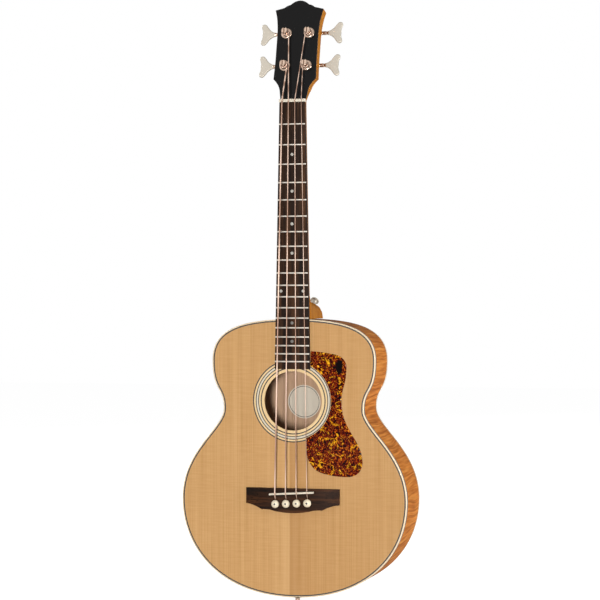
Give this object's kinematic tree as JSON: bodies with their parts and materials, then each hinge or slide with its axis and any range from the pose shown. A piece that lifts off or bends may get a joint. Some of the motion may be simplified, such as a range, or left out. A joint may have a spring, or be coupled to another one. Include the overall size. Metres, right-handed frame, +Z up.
{
  "type": "acoustic bass guitar",
  "caption": "Short-scale acoustic bass guitar with a flat spruce top, arched maple back, pin bridge, fretted neck and open-gear tuning machines with clover keys.",
  "frame": {"origin": "in the throat of the neck behind the nut, where the yoke of a wall hanger carries the headstock", "axes": "+Z up the neck, -Y out of the soundboard's face, +X towards the treble side"},
  "size_m": [0.361, 0.1258, 0.9454],
  "materials": {
    "spruce_top": "gloss lacquer over straight-grained spruce",
    "maple": "gloss amber lacquer over flamed maple",
    "brace_wood": "bare sanded spruce",
    "ivory_binding": "polished ivory plastic",
    "dark_inlay": "polished dark brown lines",
    "pearl_inlay": "polished pearl band",
    "tortoiseshell": "polished mottled tortoiseshell",
    "rosewood": "oiled open-grained rosewood",
    "bone": "smooth bone",
    "pin_plastic": "polished ivory plastic",
    "mahogany": "gloss amber lacquer",
    "black_veneer": "gloss black",
    "rod_steel": "plain steel",
    "rod_nut_brass": "machined brass",
    "nickel_hardware": "warm satin nickel",
    "gear_brass": "machined brass",
    "bronze_winding": "wound phosphor bronze"
  },
  "bodies": {
    "guitar": {"soundboard": "spruce_top", "back_plate": "maple", "rim_treble_side": "maple", "rim_bass_side": "maple", "bridge_plate": "maple", "neck_block": "brace_wood", "tail_block": "brace_wood", "x_brace_bass_leg": "brace_wood", "x_brace_treble_leg": "brace_wood", "transverse_brace": "brace_wood", "tone_bar_upper": "brace_wood", "tone_bar_lower": "brace_wood", "binding_top": "ivory_binding", "binding_back": "ivory_binding", "purfling_top": "dark_inlay", "rosette_inner_ring": "dark_inlay", "rosette_outer_ring": "dark_inlay", "rosette_band": "pearl_inlay", "pickguard": "tortoiseshell", "bridge": "rosewood", "fingerboard": "rosewood", "saddle": "bone", "nut": "bone", "neck": "mahogany", "headstock_veneer": "black_veneer", "truss_rod": "rod_steel", "heel_strap_button": "nickel_hardware", "end_pin": "nickel_hardware", "tuner_plate_e": "nickel_hardware", "tuner_bushing_e": "nickel_hardware", "string_e": "bronze_winding", "tuner_plate_a": "nickel_hardware", "tuner_bushing_a": "nickel_hardware", "string_a": "bronze_winding", "tuner_plate_d": "nickel_hardware", "tuner_bushing_d": "nickel_hardware", "string_d": "bronze_winding", "tuner_plate_g": "nickel_hardware", "tuner_bushing_g": "nickel_hardware", "string_g": "bronze_winding"},
    "key_e": {"tuner_key_e": "nickel_hardware"},
    "post_e": {"tuner_post_e": "nickel_hardware", "tuner_gear_e": "gear_brass"},
    "pin_e": {"bridge_pin_e": "pin_plastic"},
    "key_a": {"tuner_key_a": "nickel_hardware"},
    "post_a": {"tuner_post_a": "nickel_hardware", "tuner_gear_a": "gear_brass"},
    "pin_a": {"bridge_pin_a": "pin_plastic"},
    "key_d": {"tuner_key_d": "nickel_hardware"},
    "post_d": {"tuner_post_d": "nickel_hardware", "tuner_gear_d": "gear_brass"},
    "pin_d": {"bridge_pin_d": "pin_plastic"},
    "key_g": {"tuner_key_g": "nickel_hardware"},
    "post_g": {"tuner_post_g": "nickel_hardware", "tuner_gear_g": "gear_brass"},
    "pin_g": {"bridge_pin_g": "pin_plastic"},
    "rod_nut": {"truss_rod_nut": "rod_nut_brass"}
  },
  "joints": [
    {"name": "key_turn_e", "type": "hinge", "parent": "guitar", "child": "key_e", "pos_m": [-0.0173, 0.03129, 0.04183], "axis": [1, 0, 0], "continuous": true},
    {"name": "post_turn_e", "type": "hinge", "parent": "guitar", "child": "post_e", "pos_m": [-0.0173, 0.00644, 0.0399], "axis": [0, 0.9659, -0.2588], "continuous": true},
    {"name": "key_turn_a", "type": "hinge", "parent": "guitar", "child": "key_a", "pos_m": [-0.0183, 0.04527, 0.09399], "axis": [1, 0, 0], "continuous": true},
    {"name": "post_turn_a", "type": "hinge", "parent": "guitar", "child": "post_a", "pos_m": [-0.0183, 0.02042, 0.09206], "axis": [0, 0.9659, -0.2588], "continuous": true},
    {"name": "key_turn_d", "type": "hinge", "parent": "guitar", "child": "key_d", "pos_m": [0.0183, 0.04527, 0.09399], "axis": [1, 0, 0], "continuous": true},
    {"name": "post_turn_d", "type": "hinge", "parent": "guitar", "child": "post_d", "pos_m": [0.0183, 0.02042, 0.09206], "axis": [0, 0.9659, -0.2588], "continuous": true},
    {"name": "key_turn_g", "type": "hinge", "parent": "guitar", "child": "key_g", "pos_m": [0.0173, 0.03129, 0.04183], "axis": [1, 0, 0], "continuous": true},
    {"name": "post_turn_g", "type": "hinge", "parent": "guitar", "child": "post_g", "pos_m": [0.0173, 0.00644, 0.0399], "axis": [0, 0.9659, -0.2588], "continuous": true},
    {"name": "pin_pull_e", "type": "slide", "parent": "guitar", "child": "pin_e", "axis": [0, -1, 0], "range_m": [0, 0.03]},
    {"name": "pin_pull_a", "type": "slide", "parent": "guitar", "child": "pin_a", "axis": [0, -1, 0], "range_m": [0, 0.03]},
    {"name": "pin_pull_d", "type": "slide", "parent": "guitar", "child": "pin_d", "axis": [0, -1, 0], "range_m": [0, 0.03]},
    {"name": "pin_pull_g", "type": "slide", "parent": "guitar", "child": "pin_g", "axis": [0, -1, 0], "range_m": [0, 0.03]},
    {"name": "rod_nut_turn", "type": "hinge", "parent": "guitar", "child": "rod_nut", "pos_m": [0, 0.0013, -0.38349], "axis": [0, 0, 1], "range_deg": [-180, 180]}
  ],
  "couplings": [
    {"joint": "post_turn_e", "follows": "key_turn_e", "ratio": -0.0625},
    {"joint": "post_turn_a", "follows": "key_turn_a", "ratio": -0.0625},
    {"joint": "post_turn_d", "follows": "key_turn_d", "ratio": 0.0625},
    {"joint": "post_turn_g", "follows": "key_turn_g", "ratio": 0.0625}
  ]
}
